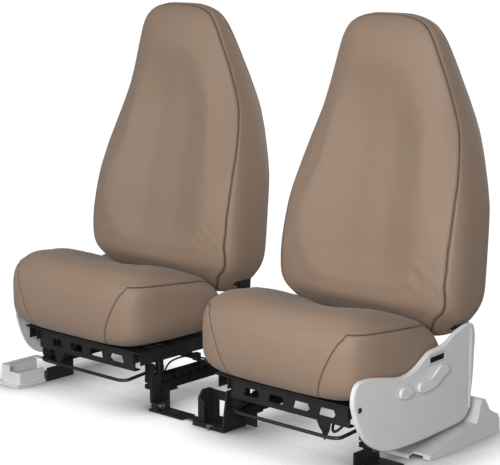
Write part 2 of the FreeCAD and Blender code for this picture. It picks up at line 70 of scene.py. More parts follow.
def area_light(name, place, aim, size, watts):
    lamp = bpy.data.lights.new(name, "AREA")
    lamp.shape, lamp.size, lamp.size_y = "RECTANGLE", size[0], size[1]
    lamp.energy = watts
    holder = bpy.data.objects.new(name, lamp)
    scene.collection.objects.link(holder)
    holder.location = place
    holder.rotation_euler = (Vector(aim) - Vector(place)).to_track_quat("-Z", "Y").to_euler()


area_light("key_light", (2.1, -2.9, 1.35), (0.0, 0.0, 0.75), (1.3, 1.3), 106)
area_light("front_fill", (-1.1, -2.7, 1.5), (-0.35, 0, 0.8), (1.2, 1.2), 30)
area_light("top_light", (0.3, 0.4, 3.2), (0, 0.1, 0.4), (2.4, 2.0), 5)
area_light("back_fill", (0.2, 3.2, 1.5), (0, 0, 0.5), (2.0, 2.0), 34)

sky = bpy.data.worlds.new("studio")
sky.use_nodes = True
scene.world = sky
backdrop = sky.node_tree
backdrop.nodes.clear()
seen = add_node(backdrop, "ShaderNodeBackground", {"Color": (1, 1, 1, 1), "Strength": 1.05})
glow = add_node(backdrop, "ShaderNodeBackground", {"Color": (1, 1, 1, 1), "Strength": 0.22})
which = add_node(backdrop, "ShaderNodeLightPath")
mixed = add_node(backdrop, "ShaderNodeMixShader", {0: which.outputs["Is Camera Ray"], 1: glow.outputs[0],
                                                   2: seen.outputs[0]})
add_node(backdrop, "ShaderNodeOutputWorld", {"Surface": mixed.outputs[0]})

floor_mesh = bmesh.new()
bmesh.ops.create_grid(floor_mesh, x_segments=2, y_segments=2, size=30)
floor_data = bpy.data.meshes.new("studio_floor")
floor_mesh.to_mesh(floor_data)
floor_mesh.free()
studio_floor = bpy.data.objects.new("studio_floor", floor_data)
scene.collection.objects.link(studio_floor)
# Painted shadow: to the camera the floor glows, dimmed by an occlusion test into painted contact shadows; other rays
# see a dull grey floor.
paper = bpy.data.materials.new("white_floor")
paper.use_nodes = True
paper_tree = paper.node_tree
paper_tree.nodes.clear()
contact = add_node(paper_tree, "ShaderNodeAmbientOcclusion", {"Distance": 0.17}, samples=12)
shade = add_node(paper_tree, "ShaderNodeMath", {0: contact.outputs["AO"], 1: 2.1}, operation="POWER")
shade_low = add_node(paper_tree, "ShaderNodeMath", {0: shade.outputs[0], 1: 1.0, 2: 0.05},
                     operation="MULTIPLY_ADD")
glowing_paper_painted_shadow = add_node(paper_tree, "ShaderNodeEmission",
                     {"Color": (1, 1, 1, 1), "Strength": shade_low.outputs[0]})
dull_paper = add_node(paper_tree, "ShaderNodeBsdfDiffuse", {"Color": (0.3, 0.3, 0.3, 1)})
paper_ray = add_node(paper_tree, "ShaderNodeLightPath")
paper_mix = add_node(paper_tree, "ShaderNodeMixShader", {0: paper_ray.outputs["Is Camera Ray"],
                     1: dull_paper.outputs[0], 2: glowing_paper_painted_shadow.outputs[0]})
add_node(paper_tree, "ShaderNodeOutputMaterial", {"Surface": paper_mix.outputs[0]})
floor_data.materials.append(paper)


# --- Finishes of the metal, plastic and cable parts --------------------------------------
# Pressed steel in black paint, rolled rail steel, zinc-plated bolts, moulded grey and black
# plastic: each has its own grain, blotches and rubbed places.
def effect(name, inputs, outputs):
    tree = bpy.data.node_groups.new(name, "ShaderNodeTree")
    for label, kind, value in inputs:
        socket = tree.interface.new_socket(name=label, in_out="INPUT", socket_type=kind)
        socket.default_value = value
    for label, kind in outputs:
        tree.interface.new_socket(name=label, in_out="OUTPUT", socket_type=kind)
    return tree, tree.nodes.new("NodeGroupInput"), tree.nodes.new("NodeGroupOutput")


# Surface skin: fine grain for the bump, slow blotches for the tone, thin rubbed streaks.
skin, skin_in, skin_out = effect("surface_skin", [
    ("Position", "NodeSocketVector", (0, 0, 0)), ("Tone", "NodeSocketColor", (0.5, 0.5, 0.5, 1)),
    ("Rub tone", "NodeSocketColor", (0.6, 0.6, 0.6, 1)), ("Grain scale", "NodeSocketFloat", 900.0),
    ("Blotch", "NodeSocketFloat", 0.1), ("Rub", "NodeSocketFloat", 0.3),
    ("Gloss low", "NodeSocketFloat", 0.4), ("Gloss high", "NodeSocketFloat", 0.6)],
    [("Color", "NodeSocketColor"), ("Roughness", "NodeSocketFloat"), ("Height", "NodeSocketFloat")])
grain = add_node(skin, "ShaderNodeTexNoise", {"Vector": skin_in.outputs["Position"],
                 "Scale": skin_in.outputs["Grain scale"], "Detail": 3.0})
slow = add_node(skin, "ShaderNodeTexNoise", {"Vector": skin_in.outputs["Position"],
                "Scale": 9.0, "Detail": 5.0})
streak = add_node(skin, "ShaderNodeTexNoise", {"Vector": skin_in.outputs["Position"], "Scale": 46.0,
                  "Detail": 8.0, "Roughness": 0.72, "Distortion": 0.6})
rubbed = add_node(skin, "ShaderNodeMapRange", {"Value": streak.outputs["Fac"], "From Min": 0.62,
                  "From Max": 0.74, "To Min": 0.0, "To Max": skin_in.outputs["Rub"]})
spread = add_node(skin, "ShaderNodeMath", {0: slow.outputs["Fac"], 1: 0.5}, operation="SUBTRACT")
amount = add_node(skin, "ShaderNodeMath", {0: spread.outputs[0], 1: skin_in.outputs["Blotch"], 2: 1.0},
                  operation="MULTIPLY_ADD")
toned = add_node(skin, "ShaderNodeVectorMath", {0: skin_in.outputs["Tone"], "Scale": amount.outputs[0]},
                 operation="SCALE")
worn = add_node(skin, "ShaderNodeMix", {0: rubbed.outputs[0], 6: toned.outputs[0],
                7: skin_in.outputs["Rub tone"]}, data_type="RGBA")
gloss = add_node(skin, "ShaderNodeMapRange", {"Value": slow.outputs["Fac"], "From Min": 0.3, "From Max": 0.7,
                 "To Min": skin_in.outputs["Gloss low"], "To Max": skin_in.outputs["Gloss high"]})
skin.links.new(worn.outputs[2], skin_out.inputs["Color"])
skin.links.new(gloss.outputs[0], skin_out.inputs["Roughness"])
skin.links.new(grain.outputs["Fac"], skin_out.inputs["Height"])


def skinned(name, tone, rub_tone, grain_scale, blotch, rub, low, high, bump, metal=0.0, coat=0.0):
    made = bpy.data.materials.new(name)
    made.use_nodes = True
    tree = made.node_tree
    shader = tree.nodes["Principled BSDF"]
    where = add_node(tree, "ShaderNodeTexCoord")
    look = add_node(tree, "ShaderNodeGroup", node_tree=skin)
    tree.links.new(where.outputs["Object"], look.inputs["Position"])
    look.inputs["Tone"].default_value = (*tone, 1)
    look.inputs["Rub tone"].default_value = (*rub_tone, 1)
    for label, value in (("Grain scale", grain_scale), ("Blotch", blotch), ("Rub", rub), ("Gloss low", low),
                         ("Gloss high", high)):
        look.inputs[label].default_value = value
    rough = add_node(tree, "ShaderNodeBump", {"Height": look.outputs["Height"], "Strength": bump,
                     "Distance": 0.0004})
    tree.links.new(look.outputs["Color"], shader.inputs["Base Color"])
    tree.links.new(look.outputs["Roughness"], shader.inputs["Roughness"])
    tree.links.new(rough.outputs["Normal"], shader.inputs["Normal"])
    shader.inputs["Metallic"].default_value = metal
    shader.inputs["Coat Weight"].default_value = coat
    return made


black_paint = skinned("black_painted_steel", (0.012, 0.012, 0.013), (0.05, 0.05, 0.05), 420, 0.5, 0.35,
                      0.34, 0.55, 0.35, coat=0.1)
rail_steel = skinned("oiled_rail_steel", (0.02, 0.02, 0.022), (0.09, 0.09, 0.09), 620, 0.6, 0.5, 0.28, 0.48,
                     0.3, metal=0.6)
zinc = skinned("zinc_plated", (0.62, 0.62, 0.6), (0.42, 0.42, 0.4), 500, 0.3, 0.4, 0.22, 0.4, 0.2, metal=1.0)
motor_plastic = skinned("black_motor_case", (0.02, 0.02, 0.021), (0.04, 0.04, 0.04), 300, 0.4, 0.3,
                        0.45, 0.65, 0.4)
cable_rubber = skinned("black_cable_jacket", (0.012, 0.012, 0.012), (0.03, 0.03, 0.03), 800, 0.4, 0.2,
                       0.5, 0.7, 0.3)
grey_plastic = skinned("grained_grey_plastic", (0.70, 0.70, 0.705), (0.76, 0.76, 0.76), 1300, 0.12, 0.25,
                       0.42, 0.56, 0.35)
knob_plastic = skinned("smooth_grey_plastic", (0.72, 0.72, 0.725), (0.78, 0.78, 0.78), 1500, 0.1, 0.2,
                       0.32, 0.45, 0.2)
finish_by_part = {
    "lower_rails": rail_steel, "upper_rails": rail_steel,
    "lift_posts": rail_steel, "lift_sleeves": rail_steel,
    "lift_motor": motor_plastic, "side_shield": grey_plastic, "rail_cover": grey_plastic,
    "foot_cover": grey_plastic, "seat_knob": knob_plastic, "recline_knob": knob_plastic, "rail_bolts": zinc,
}
for name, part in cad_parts.items():
    plain = name.replace("driver_", "").replace("passenger_", "")
    part.data.materials.clear()
    part.data.materials.append(finish_by_part.get(plain, black_paint))

# --- Cover cloth --------------------------------------------------------------------------
# Tan laminated cloth with a fine leather grain, backed with thin foam, cut in panels and sewn.
# The seam allowance is folded under, so the cloth dips along each seam, and its colour is darkened there as painted
# shade in the dip.
cover_cloth = bpy.data.materials.new("tan_cover_cloth")
cover_cloth.use_nodes = True
cloth_tree = cover_cloth.node_tree
cloth_shader = cloth_tree.nodes["Principled BSDF"]
cloth_at = add_node(cloth_tree, "ShaderNodeTexCoord")
pebble = add_node(cloth_tree, "ShaderNodeTexVoronoi", {"Vector": cloth_at.outputs["Object"], "Scale": 620.0,
                  "Smoothness": 0.6}, feature="SMOOTH_F1")
fibre = add_node(cloth_tree, "ShaderNodeTexNoise", {"Vector": cloth_at.outputs["Object"], "Scale": 240.0,
                 "Detail": 4.0})
drift = add_node(cloth_tree, "ShaderNodeTexNoise", {"Vector": cloth_at.outputs["Object"], "Scale": 4.0,
                 "Detail": 3.0})
# Painted shade: the seam attribute darkens the cloth colour along each seam groove.
seam_shade_mask = add_node(cloth_tree, "ShaderNodeAttribute", attribute_name="seam")
tan = add_node(cloth_tree, "ShaderNodeMix", {0: drift.outputs["Fac"], 6: (0.262, 0.183, 0.131, 1),
               7: (0.288, 0.203, 0.146, 1)}, data_type="RGBA")
valley = add_node(cloth_tree, "ShaderNodeMapRange", {"Value": pebble.outputs["Distance"], "From Min": 0.25,
                  "From Max": 0.75, "To Min": 0.0, "To Max": 0.16})
grained = add_node(cloth_tree, "ShaderNodeMix", {0: valley.outputs[0], 6: tan.outputs[2],
                   7: (0.16, 0.108, 0.075, 1)}, data_type="RGBA")
sewn = add_node(cloth_tree, "ShaderNodeMix", {0: seam_shade_mask.outputs["Fac"], 6: grained.outputs[2],
                7: (0.085, 0.052, 0.034, 1)}, data_type="RGBA")
lift_height = add_node(cloth_tree, "ShaderNodeMath", {0: fibre.outputs["Fac"], 1: 0.4,
                       2: pebble.outputs["Distance"]}, operation="MULTIPLY_ADD")
cloth_bump = add_node(cloth_tree, "ShaderNodeBump", {"Height": lift_height.outputs[0], "Strength": 0.22,
                      "Distance": 0.0004})
cloth_gloss = add_node(cloth_tree, "ShaderNodeMapRange", {"Value": fibre.outputs["Fac"], "From Min": 0.3,
                       "From Max": 0.7, "To Min": 0.52, "To Max": 0.64})
cloth_tree.links.new(sewn.outputs[2], cloth_shader.inputs["Base Color"])
cloth_tree.links.new(cloth_gloss.outputs[0], cloth_shader.inputs["Roughness"])
cloth_tree.links.new(cloth_bump.outputs["Normal"], cloth_shader.inputs["Normal"])
cloth_shader.inputs["Sheen Weight"].default_value = 0.12
cloth_shader.inputs["Sheen Roughness"].default_value = 0.5
cloth_shader.inputs["Specular IOR Level"].default_value = 0.35

foam_grey = skinned("open_cell_foam", (0.16, 0.14, 0.11), (0.2, 0.18, 0.14), 700, 0.3, 0.2, 0.8, 0.95, 0.8)
thread = skinned("sewing_thread", (0.12, 0.078, 0.053), (0.16, 0.11, 0.08), 2500, 0.2, 0.2, 0.5, 0.7, 0.4)

# --- Backrests ----------------------------------------------------------------------------
# A moulded foam bun over a steel frame, in a sewn cover of front panel, side band and rear
# panel. The driver's is made first; the passenger's is its mirror image.
SEAT_X, MID_Y = 0.360, 0.016
BACK = [(258, 190, 134, 206, 2.8), (264, 214, 126, 220, 3.0), (278, 236, 115, 236, 3.2),
        (296, 254, 101, 250, 3.5), (316, 268, 86, 262, 3.8), (335, 279, 67, 271, 4.0),
        (365, 288, 57, 277, 4.2), (435, 289, 57, 282, 4.2), (532, 283, 73, 297, 4.2),
        (599, 274, 90, 309, 4.2), (741, 237, 131, 321, 3.8), (817, 209, 146, 314, 3.6),
        (941, 167, 152, 284, 3.2), (988, 151, 154, 268, 3.0), (1018, 131, 160, 254, 2.8),
        (1035, 101, 171, 243, 2.6), (1044, 58, 186, 228, 2.4)]
FRONT_SEAM = [(240, 158), (290, 118), (330, 96), (396, 85), (429, 87), (493, 97), (584, 121), (667, 153),
              (746, 181), (794, 192), (874, 193), (955, 186), (1001, 184), (1060, 190)]
REAR_SEAM = [(240, 165)] + [(z, rear - 42 if rear > 262 or z < 900 else (front + rear) / 2 + 16)
                            for z, half, front, rear, n in BACK[1:]] + [(1060, 210)]


def along(table, where, column=1):
    """Smooth curve through a table's rows, in metres."""
    where *= 1000
    if where <= table[0][0]:
        return table[0][column] / 1000
    for i in range(len(table) - 1):
        if where <= table[i + 1][0]:
            a, b = table[max(i - 1, 0)], table[i]
            c, d = table[i + 1], table[min(i + 2, len(table) - 1)]
            span = c[0] - b[0]
            t = (where - b[0]) / span
            rise_b = (c[column] - a[column]) / max(c[0] - a[0], 1e-6) * span
            rise_c = (d[column] - b[column]) / max(d[0] - b[0], 1e-6) * span
            t2, t3 = t * t, t * t * t
            return ((2 * t3 - 3 * t2 + 1) * b[column] + (t3 - 2 * t2 + t) * rise_b
                    + (3 * t2 - 2 * t3) * c[column] + (t3 - t2) * rise_c) / 1000
    return table[-1][column] / 1000


def ease(value, low, high):
    t = min(max((value - low) / (high - low), 0.0), 1.0)
    return t * t * (3 - 2 * t)


def hoop(bm, rows, place):
    """Draws a ring up through the rows, each set out by place(row, angle), and caps both ends."""
    turn = bm.verts.layers.float.new("turn")
    ring = bmesh.ops.create_circle(bm, segments=64, radius=1)["verts"]
    for v in ring:
        v[turn] = math.atan2(v.co.y, v.co.x)
    loop = bm.edges[:]
    caps = [list(loop)]
    for i, row in enumerate(rows):
        if i:
            grown = bmesh.ops.extrude_edge_only(bm, edges=loop)["geom"]
            ring = [g for g in grown if isinstance(g, bmesh.types.BMVert)]
            fresh = set(ring)
            loop = [g for g in grown if isinstance(g, bmesh.types.BMEdge) and set(g.verts) <= fresh]
        for v in ring:
            v.co = place(row, v[turn])
    caps.append(loop)
    for cap in caps:
        bmesh.ops.contextual_create(bm, geom=cap)
    bmesh.ops.recalc_face_normals(bm, faces=bm.faces[:])


def softened(table):
    rows = [table[0]]
    for a, b in zip(table, table[1:]):
        rows.append(tuple(0.75 * p + 0.25 * q for p, q in zip(a, b)))
        rows.append(tuple(0.25 * p + 0.75 * q for p, q in zip(a, b)))
    return rows + [table[-1]]


def squared(value, n):
    return math.copysign(abs(value) ** (2 / n), value)


def object_of(bm, name, finish, smooth=True):
    data = bpy.data.meshes.new(name)
    bm.to_mesh(data)
    bm.free()
    for p in data.polygons:
        p.use_smooth = smooth
    data.materials.append(finish)
    made = bpy.data.objects.new(name, data)
    scene.collection.objects.link(made)
    return made


def relaxed(bm, rounds):
    for _ in range(rounds):
        bmesh.ops.smooth_vert(bm, verts=bm.verts[:], factor=0.5,
                              use_axis_x=True, use_axis_y=True, use_axis_z=True)


def remeshed(shape, size, rounds):
    """Even skin over a rough form, a few mm across each face, then relaxed."""
    shape.modifiers.new("skin", "REMESH").voxel_size = size
    shape.modifiers["skin"].mode = "VOXEL"
    new = bpy.data.meshes.new_from_object(shape.evaluated_get(bpy.context.evaluated_depsgraph_get()))
    bm = bmesh.new()
    bm.from_mesh(new)
    relaxed(bm, rounds)
    bpy.data.objects.remove(shape)
    return bm


def stuffed(bm, name, pressure, cap, held):
    """Lets the foam push the cloth out between its seams, no further than the cap."""
    shape = object_of(bm, name, cover_cloth)
    pins = shape.vertex_groups.new(name="sewn")
    pins.add([v.index for v in shape.data.vertices if held(v.co)], 1.0, "REPLACE")
    cloth = shape.modifiers.new("push", "CLOTH")
    cloth.settings.quality = 4
    cloth.settings.mass = 0.3
    cloth.settings.tension_stiffness = cloth.settings.compression_stiffness = 18
    cloth.settings.use_pressure = True
    cloth.settings.uniform_pressure_force = pressure
    cloth.settings.vertex_group_mass = "sewn"
    cloth.settings.effector_weights.gravity = 0
    cloth.collision_settings.use_collision = False
    for tick in range(1, 21):
        scene.frame_set(tick)
    after = shape.evaluated_get(bpy.context.evaluated_depsgraph_get()).to_mesh()
    moved = [v.co.copy() for v in after.vertices]
    shape.modifiers.remove(cloth)
    for v, there in zip(shape.data.vertices, moved):
        step = there - v.co
        v.co += step * min(1.0, cap / max(step.length, 1e-9))
    scene.frame_set(1)
    bm = bmesh.new()
    bm.from_mesh(shape.data)
    bpy.data.objects.remove(shape)
    relaxed(bm, 3)
    return bm


def cut_along(bm, axis, shift, at=0.0, drop=None):
    """Bends the mesh until the seam line is flat, cuts it there, and bends it back."""
    for v in bm.verts:
        v.co[axis] -= shift(v.co)
    point, normal = Vector(), Vector()
    point[axis], normal[axis] = at, 1.0
    bmesh.ops.bisect_plane(bm, geom=bm.verts[:] + bm.edges[:] + bm.faces[:], dist=1e-6, plane_co=point,
                           plane_no=normal, clear_outer=drop == "beyond", clear_inner=drop == "before")
    for v in bm.verts:
        v.co[axis] += shift(v.co)


def steepness(axis, shift, co):
    """How much longer a step along the axis is than the same step square to the seam."""
    sum_of_squares = 1.0
    for other in range(3):
        if other != axis:
            a, b = co.copy(), co.copy()
            a[other] -= 0.001
            b[other] += 0.001
            sum_of_squares += ((shift(b) - shift(a)) / 0.002) ** 2
    return math.sqrt(sum_of_squares)


def groove(bm, axis, shift, where, width=0.007, depth=0.0022):
    """Extra edge loops beside a seam, then the cloth drawn down into it and marked for painted shade."""
    for at in (-0.0055, -0.0028, -0.0011, 0.0, 0.0011, 0.0028, 0.0055):
        cut_along(bm, axis, lambda co, at=at: shift(co) + at * steepness(axis, shift, co), 0.0)
    painted_seam_shade = bm.verts.layers.float.get("seam") or bm.verts.layers.float.new("seam")
    bm.normal_update()
    for v in bm.verts:
        off = abs(v.co[axis] - shift(v.co))
        if off < width * 14 and where(v.co):
            off /= steepness(axis, shift, v.co)
            if off < width:
                v.co -= v.normal * depth * (1 - off / width) ** 2
                # Marks painted shade along the seam, which the cloth colour darkens.
                v[painted_seam_shade] = max(v[painted_seam_shade], 1.0 - ease(off, 0.0002, 0.0030))


def panel(bm, name, cuts):
    piece = bm.copy()
    for axis, shift, at, drop in cuts:
        cut_along(piece, axis, shift, at, drop)
    made = object_of(piece, name, cover_cloth)
    wall = made.modifiers.new("cloth_thickness", "SOLIDIFY")
    wall.thickness, wall.offset = 0.0035, -1
    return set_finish(made, "cover_cloth")


def mirrored(piece, name):
    data = piece.data.copy()
    data.transform(Matrix.Scale(-1, 4, Vector((1, 0, 0))))
    bm = bmesh.new()
    bm.from_mesh(data)
    bmesh.ops.reverse_faces(bm, faces=bm.faces[:])
    bm.to_mesh(data)
    bm.free()
    twin = bpy.data.objects.new(name, data)
    scene.collection.objects.link(twin)
    for m in piece.modifiers:
        copy = twin.modifiers.new(m.name, m.type)
        if m.type == "SOLIDIFY":
            copy.thickness, copy.offset = m.thickness, m.offset
        elif m.type == "SUBSURF":
            copy.levels = copy.render_levels = m.levels
        elif m.type == "BEVEL":
            copy.width, copy.segments = m.width, m.segments
    return twin


def both_sides(piece, plain, body, nodes=()):
    """Fixes the driver's piece and its mirrored twin to their bodies."""
    twin = mirrored(piece, "passenger_" + plain)
    for side, made in (("driver", piece), ("passenger", twin)):
        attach(made, side + "_" + body)
        if "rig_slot" in piece:
            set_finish(made, piece["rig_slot"])
        if nodes:
            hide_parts(*[side + "_" + n for n in nodes])
    return piece, twin


def back_point(row, angle):
    z, half, front, rear, n = row
    mid, deep = (front + rear) / 2, (rear - front) / 2
    return Vector((SEAT_X + (half - 3) * squared(math.cos(angle), n) / 1000,
                   (mid + (deep - 3) * squared(math.sin(angle), n)) / 1000 - MID_Y, z / 1000))


def front_seam(co):
    """The seam runs on the sides; over the middle its cut stays behind the dished front."""
    across = abs(co.x - SEAT_X) / max(along(BACK, co.z), 0.02)
    behind = 0.045 * (1 - ease(across, 0.55, 0.85)) * (1 - ease(co.z, 0.60, 0.78))
    return along(FRONT_SEAM, co.z) - MID_Y + behind


def rear_seam(co):
    return along(REAR_SEAM, co.z) - MID_Y


def anywhere(co):
    return True


back_form = bmesh.new()
hoop(back_form, softened(BACK), back_point)
back_form = remeshed(object_of(back_form, "back_form", cover_cloth), 0.0062, 6)
for v in back_form.verts:
    half = max(along(BACK, v.co.z, 1), 0.02)
    front, rear = along(BACK, v.co.z, 2) - MID_Y, along(BACK, v.co.z, 3) - MID_Y
    across = abs(v.co.x - SEAT_X) / half
    facing = ease((front + rear) / 2 - v.co.y, 0.0, (rear - front) * 0.42)
    tall = ease(v.co.z, 0.33, 0.46) * (1 - ease(v.co.z, 0.70, 0.95))
    dish = 0.036 * tall * (1 - ease(across, 0.15, 0.76))
    brow = 0.006 * ease(v.co.z, 0.86, 0.93) * (1 - ease(v.co.z, 0.97, 1.03)) * (1 - across * across)
    v.co.y += facing * (dish - brow)
back_form = stuffed(back_form, "back_form", 4.0, 0.004,
                    lambda co: min(abs(co.y - front_seam(co)), abs(co.y - rear_seam(co))) < 0.007)
groove(back_form, 1, front_seam, anywhere)
groove(back_form, 1, rear_seam, anywhere)

# Two slots in the bottom let the frame's arms out to the recliner pivots.
for side in (-1, 1):
    for axis, at in ((0, SEAT_X + side * 0.232), (0, SEAT_X + side * 0.259),
                     (1, 0.144 - MID_Y), (1, 0.232 - MID_Y), (2, 0.300)):
        low = [f for f in back_form.faces if f.calc_center_median().z < 0.31]
        touched = {e for f in low for e in f.edges} | {v for f in low for v in f.verts} | set(low)
        flat, facing_axis = Vector(), Vector()
        flat[axis], facing_axis[axis] = at, 1.0
        bmesh.ops.bisect_plane(back_form, geom=list(touched), dist=1e-6, plane_co=flat, plane_no=facing_axis)
    inside = [f for f in back_form.faces
              if f.calc_center_median().z < 0.300
              and abs(f.calc_center_median().x - SEAT_X - side * 0.2455) < 0.0134
              and 0.144 < f.calc_center_median().y + MID_Y < 0.232]
    bmesh.ops.delete(back_form, geom=inside, context="FACES")

back_panels = [
    ("back_front_cover", (0.62, 0.86), 0.356, [(1, front_seam, -0.0003, "beyond")]),
    ("back_side_band", (0.16, 1.95), 0.25,
     [(1, front_seam, 0.0003, "before"), (1, rear_seam, -0.0003, "beyond")]),
    ("back_rear_cover", (0.62, 0.90), 0.455, [(1, rear_seam, 0.0003, "before")])]
sewn_panels = {}
for plain, flat_size, cloth_area, cuts in back_panels:
    sewn_panels[plain] = both_sides(panel(back_form, "driver_" + plain + "_sewn", cuts), plain + "_sewn",
                                    "backrest", [plain])


# Foam: the same form, a cover's thickness smaller.
COVER_DEPTH = 0.0075


def foam_inside(bm, name, depth):
    core = bm.copy()
    core.normal_update()
    for v in core.verts:
        v.co -= v.normal * depth
    bmesh.ops.holes_fill(core, edges=core.edges[:], sides=0)
    shape = object_of(core, name + "_rough", foam_grey)
    made = object_of(remeshed(shape, 0.014, 2), name, foam_grey)
    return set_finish(made, "foam")


back_bun = foam_inside(back_form, "driver_back_bun", COVER_DEPTH)
for made in both_sides(back_bun, "back_bun", "backrest", ["back_foam"]):
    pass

# --- Cushions -----------------------------------------------------------------------------
# A moulded foam cushion on the pan, in a cover of one long top panel that wraps over the
# front edge, and two side panels. The hem is pulled under by elastic straps.
CUSHION = [(-264, 160, 230, 296), (-258, 205, 202, 330), (-245, 235, 180, 363),
           (-218, 253, 168, 390), (-180, 262, 166, 401), (-115, 267, 166, 393),
           (-40, 268, 166, 372), (44, 263, 166, 344), (66, 258, 167, 326), (88, 250, 168, 301),
           (106, 238, 171, 271), (118, 222, 176, 246)]
# Seam up the front, as half width and height; seam back along the side, as depth and height.
SEAM_UP = [(110, 100), (130, 150), (143, 190), (158, 230), (180, 280), (200, 320), (214, 350), (222, 440)]
SEAM_BACK = [(-300, 346), (-225, 343), (-150, 339), (-50, 330), (30, 318), (70, 300), (100, 278), (200, 250)]


def cushion_point(row, angle):
    y, half, low, high = row
    mid, tall = (low + high) / 2, (high - low) / 2
    n = 3.5 if math.sin(angle) > 0 else 5.0
    return Vector((SEAT_X + (half - 3) * squared(math.cos(angle), n) / 1000, y / 1000 - MID_Y,
                   (mid + (tall - 3) * squared(math.sin(angle), n)) / 1000))


def cushion_seam(co):
    """Height of the seam: it climbs the front, turns at the crest and runs back along the side."""
    out = abs(co.x - SEAT_X) * 1000
    if out < SEAM_UP[0][0]:
        rise = 0.100 - (SEAM_UP[0][0] - out) * 0.012
    else:
        rise = along(SEAM_UP, out / 1000)
    back = along(SEAM_BACK, co.y + MID_Y)
    near = 0.012
    mix = ease(rise - back, -near, near)
    return rise * (1 - mix) + back * mix - near * 0.25 * (1 - abs(2 * mix - 1))


cushion_form = bmesh.new()
hoop(cushion_form, softened(CUSHION), cushion_point)
cushion_form = remeshed(object_of(cushion_form, "cushion_form", cover_cloth), 0.006, 5)
for v in cushion_form.verts:
    across = abs(v.co.x - SEAT_X) / 0.266
    top = along(CUSHION, v.co.y + MID_Y, 3)
    up = ease(v.co.z, top - 0.06, top - 0.01)
    v.co.z -= 0.032 * up * ease(v.co.y, -0.28, -0.13) * (1 - ease(across, 0.15, 0.92))
cushion_form = stuffed(cushion_form, "cushion_form", 4.0, 0.004,
                       lambda co: abs(co.z - cushion_seam(co)) < 0.008 or co.z < 0.172)
groove(cushion_form, 2, cushion_seam, lambda co: co.z > 0.178 and abs(co.x - SEAT_X) > 0.12)
cushion_bun = foam_inside(cushion_form, "driver_cushion_bun", COVER_DEPTH)
for made in both_sides(cushion_bun, "cushion_bun", "cushion", ["cushion_foam"]):
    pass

# Open underside inside the hem, running back to the rear end where the backrest hides it.
for axis, at in ((0, SEAT_X - 0.196), (0, SEAT_X + 0.196), (1, -0.200 - MID_Y)):
    low = [f for f in cushion_form.faces if f.calc_center_median().z < 0.2]
    touched = {e for f in low for e in f.edges} | {v for f in low for v in f.verts} | set(low)
    flat = Vector((at if axis == 0 else 0, at if axis == 1 else 0, 0))
    bmesh.ops.bisect_plane(cushion_form, geom=list(touched), dist=1e-6, plane_co=flat,
                           plane_no=Vector((axis == 0, axis == 1, 0)))
under = [f for f in cushion_form.faces if f.calc_center_median().z < 0.2 and f.normal.z < -0.6
         and abs(f.calc_center_median().x - SEAT_X) < 0.196 and f.calc_center_median().y > -0.200 - MID_Y]
bmesh.ops.delete(cushion_form, geom=under, context="FACES")



def beside(co):
    return SEAT_X


cushion_panels = [
    ("cushion_top_cover", (0.52, 0.75), 0.327, [(2, cushion_seam, 0.0003, "before")]),
    ("cushion_side_cover_outer", (0.24, 0.50), 0.106,
     [(2, cushion_seam, -0.0003, "beyond"), (0, beside, 0.05, "before")]),
    ("cushion_side_cover_inner", (0.24, 0.50), 0.106,
     [(2, cushion_seam, -0.0003, "beyond"), (0, beside, -0.05, "beyond")])]
for plain, flat_size, cloth_area, cuts in cushion_panels:
    sewn_panels[plain] = both_sides(panel(cushion_form, "driver_" + plain + "_sewn", cuts), plain + "_sewn",
                                    "cushion", [plain])

# --- Stitching ----------------------------------------------------------------------------
# A lockstitch runs beside each seam, a few mm in from the folded edge, one thread loop at a
# time, in bonded thread a little darker than the cloth.
STITCH_PITCH, STITCH_INSET = 0.0052, 0.0046
STITCH_HALF_SIZE = (0.0017, 0.0004, 0.00042)


def stitch_row(piece, plain, body, keep):
    sheet_mesh = bmesh.new()
    sheet_mesh.from_mesh(piece.data)
    skin_tree = BVHTree.FromBMesh(sheet_mesh)
    rims = {e for e in sheet_mesh.edges if e.is_boundary}
    row = bmesh.new()
    while rims:
        edge = min(rims, key=lambda e: e.index)
        here, travelled = edge.verts[0], 0.0
        while edge:
            rims.discard(edge)
            there = edge.other_vert(here)
            along_edge = there.co - here.co
            length = along_edge.length
            travelled += length
            if travelled > STITCH_PITCH and length > 1e-6 and edge.link_faces:
                travelled = 0.0
                mid = (here.co + there.co) / 2
                tangent = along_edge.normalized()
                inward = edge.link_faces[0].calc_center_median() - mid
                inward = (inward - tangent * inward.dot(tangent)).normalized()
                near = skin_tree.find_nearest(mid + inward * STITCH_INSET)
                if near[0] is not None and keep(near[0]):
                    up = near[1]
                    side = up.cross(tangent).normalized()
                    long_half, wide_half, high_half = STITCH_HALF_SIZE
                    axes = (tangent * long_half, side * wide_half, up * high_half)
                    pose = Matrix(axes).transposed().to_4x4()
                    pose.translation = near[0] + up * 0.0001
                    bmesh.ops.create_icosphere(row, subdivisions=1, radius=1, matrix=pose)
            here = there
            edge = next((e for e in here.link_edges if e in rims), None)
    sheet_mesh.free()
    return both_sides(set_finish(object_of(row, "driver_" + plain, thread), "cover_cloth"), plain, body)


stitch_row(sewn_panels["back_front_cover"][0], "back_front_stitches", "backrest", lambda co: co.z > 0.30)
stitch_row(sewn_panels["back_rear_cover"][0], "back_rear_stitches", "backrest", lambda co: co.z > 0.30)
stitch_row(sewn_panels["cushion_top_cover"][0], "cushion_top_stitches", "cushion", lambda co: co.z > 0.18)

